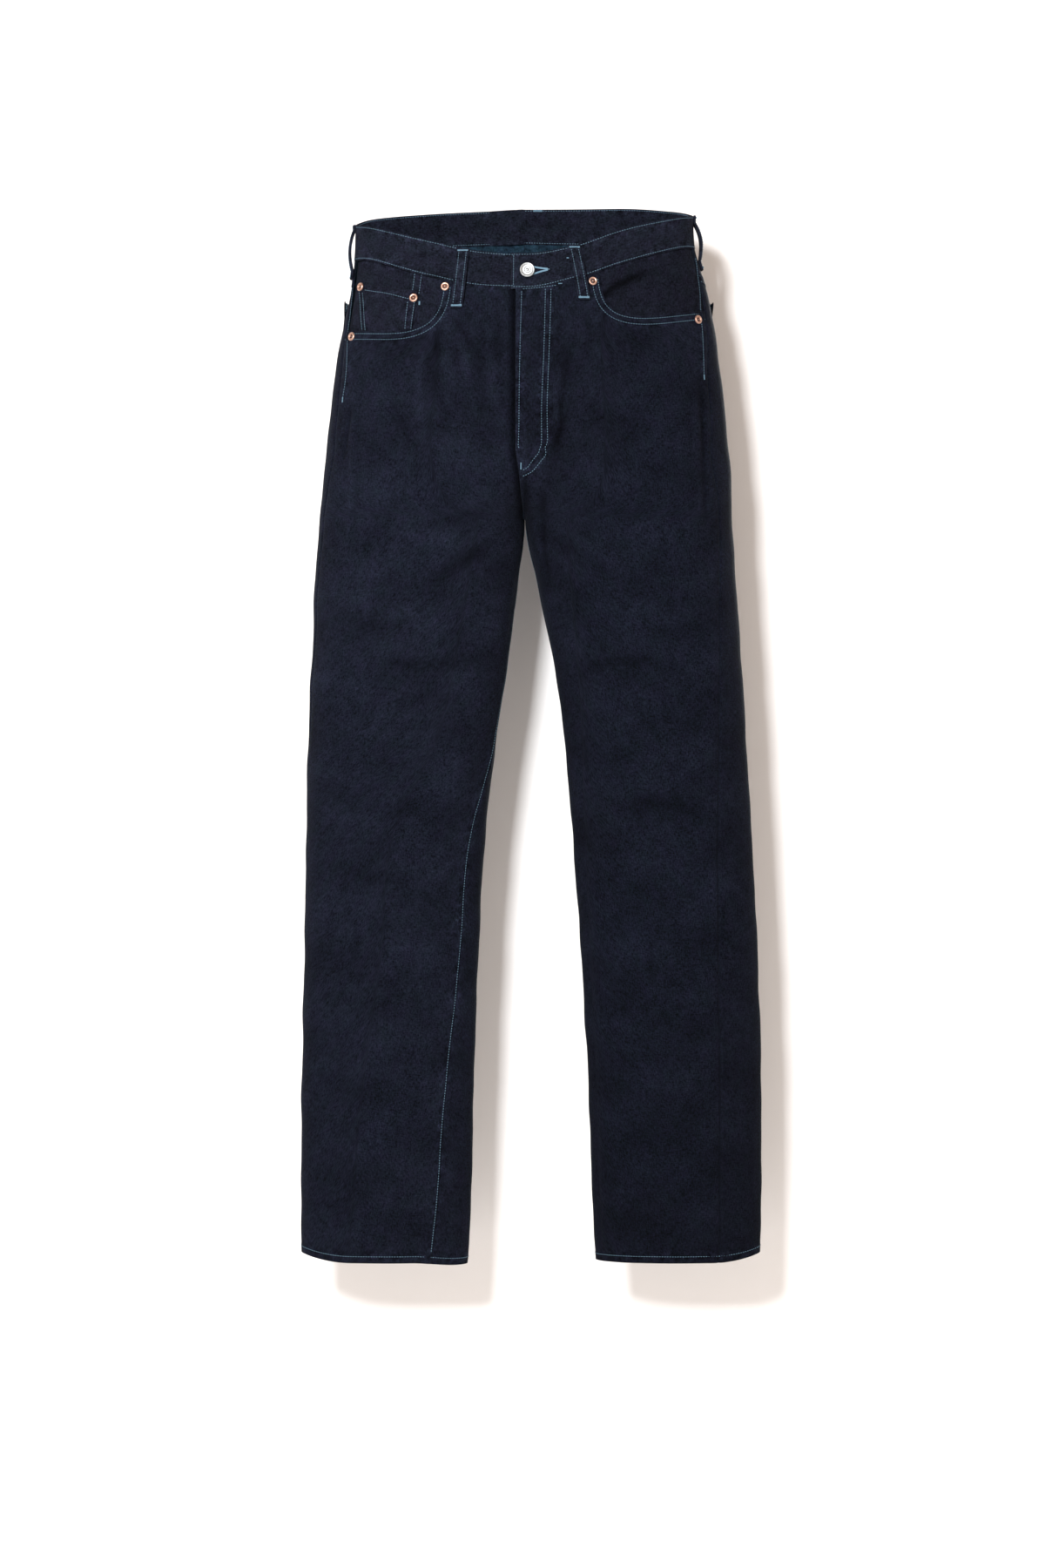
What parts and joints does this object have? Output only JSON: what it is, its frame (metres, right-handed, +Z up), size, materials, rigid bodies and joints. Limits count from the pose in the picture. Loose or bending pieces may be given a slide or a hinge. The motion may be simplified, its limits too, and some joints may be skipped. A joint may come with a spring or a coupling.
{
  "type": "straight leg jeans",
  "caption": "Straight leg jeans in dark indigo denim, filled out and hanging, with scoop and patch pockets, a buttoned waistband, belt loops and open legs.",
  "frame": {"origin": "middle of the waist opening, level with the middle of the waistband at the wearer's right side", "axes": "+Z up, the front faces -Y, the wearer's left leg at +X"},
  "size_m": [0.5175, 0.1805, 1.1888],
  "materials": {
    "denim": "dark indigo twill with a fine slub",
    "denim_band": "dark indigo twill, a little lighter",
    "pocketing": "plain woven cotton",
    "rivet_copper": "copper plate, dull in the hollows",
    "button_nickel": "satin nickel plate"
  },
  "bodies": {
    "root": {"front_panel_right": "denim", "front_panel_left": "denim", "back_panel_right": "denim", "back_panel_left": "denim", "yoke_right": "denim", "yoke_left": "denim", "pocket_facing_right": "denim", "pocket_facing_left": "denim", "coin_pocket": "denim", "back_pocket_right": "denim", "back_pocket_left": "denim", "hem_right": "denim", "hem_left": "denim", "waistband": "denim_band", "belt_loop_front_right": "denim_band", "belt_loop_front_left": "denim_band", "belt_loop_side_right": "denim_band", "belt_loop_side_left": "denim_band", "belt_loop_back": "denim_band", "pocket_bag_right": "pocketing", "pocket_bag_left": "pocketing", "rivet_coin_outer": "rivet_copper", "rivet_coin_inner": "rivet_copper", "rivet_scoop_right_top": "rivet_copper", "rivet_scoop_right_side": "rivet_copper", "rivet_scoop_left_top": "rivet_copper", "rivet_scoop_left_side": "rivet_copper", "waist_button": "button_nickel"}
  },
  "joints": []
}
